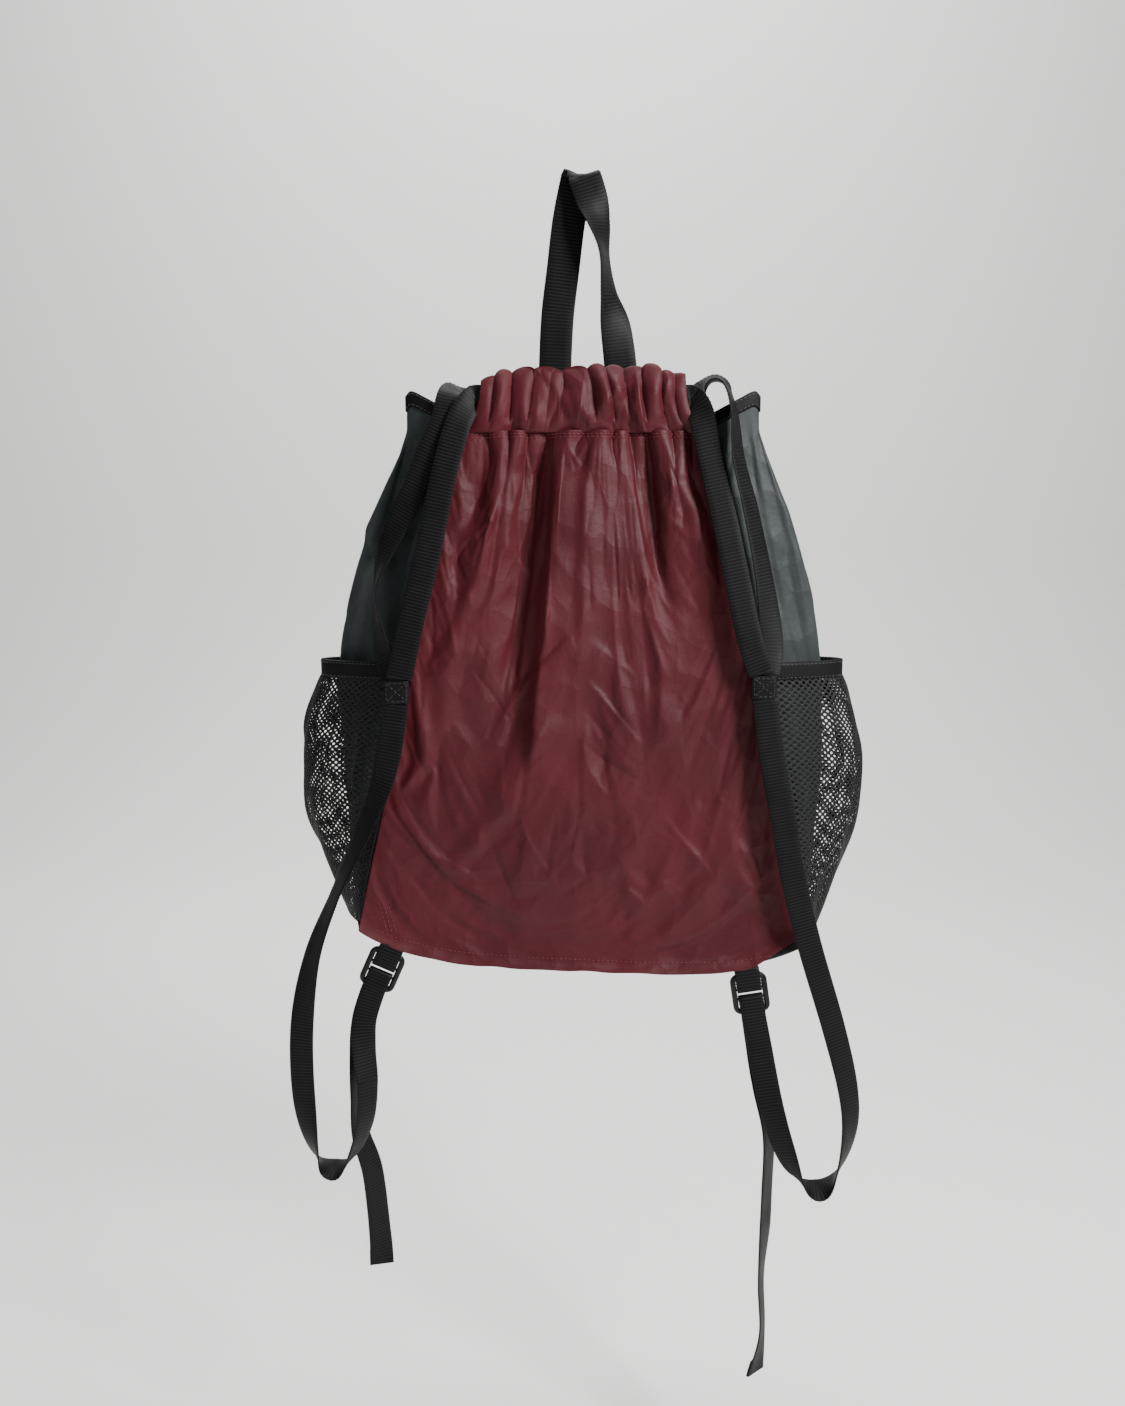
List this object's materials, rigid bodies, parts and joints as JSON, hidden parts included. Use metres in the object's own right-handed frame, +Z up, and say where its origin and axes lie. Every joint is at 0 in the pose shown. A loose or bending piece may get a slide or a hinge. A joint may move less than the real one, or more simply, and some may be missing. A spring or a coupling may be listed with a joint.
{
  "type": "drawstring backpack",
  "caption": "Drawstring backpack with a gathered mouth, mesh side pockets, webbing shoulder straps on ladder locks and a carry handle.",
  "frame": {"origin": "the hang point: inside the top of the carry handle's loop, where a hook holds the bag", "axes": "+Z up, the front panel faces -Y, +X to the right seen from the front"},
  "size_m": [0.4753, 0.1402, 0.9998],
  "materials": {
    "back_channel": "dark slate nylon, satin",
    "back_drawstring": "black ribbed webbing",
    "back_panel": "dark slate nylon, satin",
    "bottom_panel": "black nylon, matt",
    "carry_handle": "black ribbed webbing",
    "front_channel": "burgundy nylon, satin",
    "front_drawstring": "black ribbed webbing",
    "front_panel": "burgundy nylon, satin",
    "left_back_strand": "black ribbed webbing",
    "left_front_strand": "black ribbed webbing",
    "left_gusset": "dark slate nylon, satin",
    "left_gusset_binding": "black grosgrain tape, matt",
    "left_handle_anchor": "black ribbed webbing",
    "left_ladder_lock": "black moulded plastic, satin",
    "left_lock_tab": "black ribbed webbing",
    "left_pocket_binding": "black grosgrain tape, matt",
    "left_pocket_mesh": "black knitted mesh with open holes",
    "left_shoulder_strap": "black ribbed webbing",
    "left_strap_fold": "black ribbed webbing",
    "left_strap_junction": "black ribbed webbing",
    "left_strap_tail": "black ribbed webbing",
    "left_tail_tip": "black ribbed webbing",
    "right_back_strand": "black ribbed webbing",
    "right_front_strand": "black ribbed webbing",
    "right_gusset": "dark slate nylon, satin",
    "right_gusset_binding": "black grosgrain tape, matt",
    "right_handle_anchor": "black ribbed webbing",
    "right_ladder_lock": "black moulded plastic, satin",
    "right_lock_tab": "black ribbed webbing",
    "right_pocket_binding": "black grosgrain tape, matt",
    "right_pocket_mesh": "black knitted mesh with open holes",
    "right_shoulder_strap": "black ribbed webbing",
    "right_strap_fold": "black ribbed webbing",
    "right_strap_junction": "black ribbed webbing",
    "right_strap_tail": "black ribbed webbing",
    "right_tail_tip": "black ribbed webbing"
  },
  "bodies": {
    "carry_handle": {"carry_handle": "carry_handle"},
    "bag": {"back_channel": "back_channel", "back_drawstring": "back_drawstring", "back_panel": "back_panel", "bottom_panel": "bottom_panel", "front_channel": "front_channel", "front_drawstring": "front_drawstring", "front_panel": "front_panel", "left_back_strand": "left_back_strand", "left_front_strand": "left_front_strand", "left_gusset": "left_gusset", "left_gusset_binding": "left_gusset_binding", "left_handle_anchor": "left_handle_anchor", "left_pocket_binding": "left_pocket_binding", "left_pocket_mesh": "left_pocket_mesh", "left_strap_junction": "left_strap_junction", "right_back_strand": "right_back_strand", "right_front_strand": "right_front_strand", "right_gusset": "right_gusset", "right_gusset_binding": "right_gusset_binding", "right_handle_anchor": "right_handle_anchor", "right_pocket_binding": "right_pocket_binding", "right_pocket_mesh": "right_pocket_mesh", "right_strap_junction": "right_strap_junction"},
    "left_strap": {"left_shoulder_strap": "left_shoulder_strap"},
    "right_strap": {"right_shoulder_strap": "right_shoulder_strap"},
    "left_lock": {"left_lock_tab": "left_lock_tab", "left_ladder_lock": "left_ladder_lock", "left_strap_fold": "left_strap_fold"},
    "right_lock": {"right_lock_tab": "right_lock_tab", "right_ladder_lock": "right_ladder_lock", "right_strap_fold": "right_strap_fold"},
    "left_tail": {"left_strap_tail": "left_strap_tail", "left_tail_tip": "left_tail_tip"},
    "right_tail": {"right_strap_tail": "right_strap_tail", "right_tail_tip": "right_tail_tip"}
  },
  "joints": [
    {"name": "handle_swing", "type": "hinge", "parent": "carry_handle", "child": "bag", "pos_m": [0, 0.003, -0.1455], "axis": [1, 0, 0], "range_deg": [-60, 60]},
    {"name": "left_strap_swing", "type": "hinge", "parent": "bag", "child": "left_strap", "pos_m": [-0.146, -0.0475, -0.4075], "axis": [0.0424, -0.03, 0.9986], "range_deg": [0, 50]},
    {"name": "left_lock_swing", "type": "hinge", "parent": "left_strap", "child": "left_lock", "pos_m": [-0.1545, -0.0415, -0.60748], "axis": [0.9135, 0, -0.4067], "range_deg": [0, 30]},
    {"name": "left_tail_swing", "type": "hinge", "parent": "left_lock", "child": "left_tail", "pos_m": [-0.17077, -0.04401, -0.64403], "axis": [0.9135, 0, -0.4067], "range_deg": [0, 50]},
    {"name": "right_strap_swing", "type": "hinge", "parent": "bag", "child": "right_strap", "pos_m": [0.1415, -0.0485, -0.4035], "axis": [-0.0318, 0.0314, -0.999], "range_deg": [0, 50]},
    {"name": "right_lock_swing", "type": "hinge", "parent": "right_strap", "child": "right_lock", "pos_m": [0.1344, -0.0415, -0.62623], "axis": [0.9877, 0, 0.1564], "range_deg": [0, 30]},
    {"name": "right_tail_swing", "type": "hinge", "parent": "right_lock", "child": "right_tail", "pos_m": [0.14066, -0.04401, -0.66574], "axis": [0.9877, 0, 0.1564], "range_deg": [0, 50]}
  ]
}
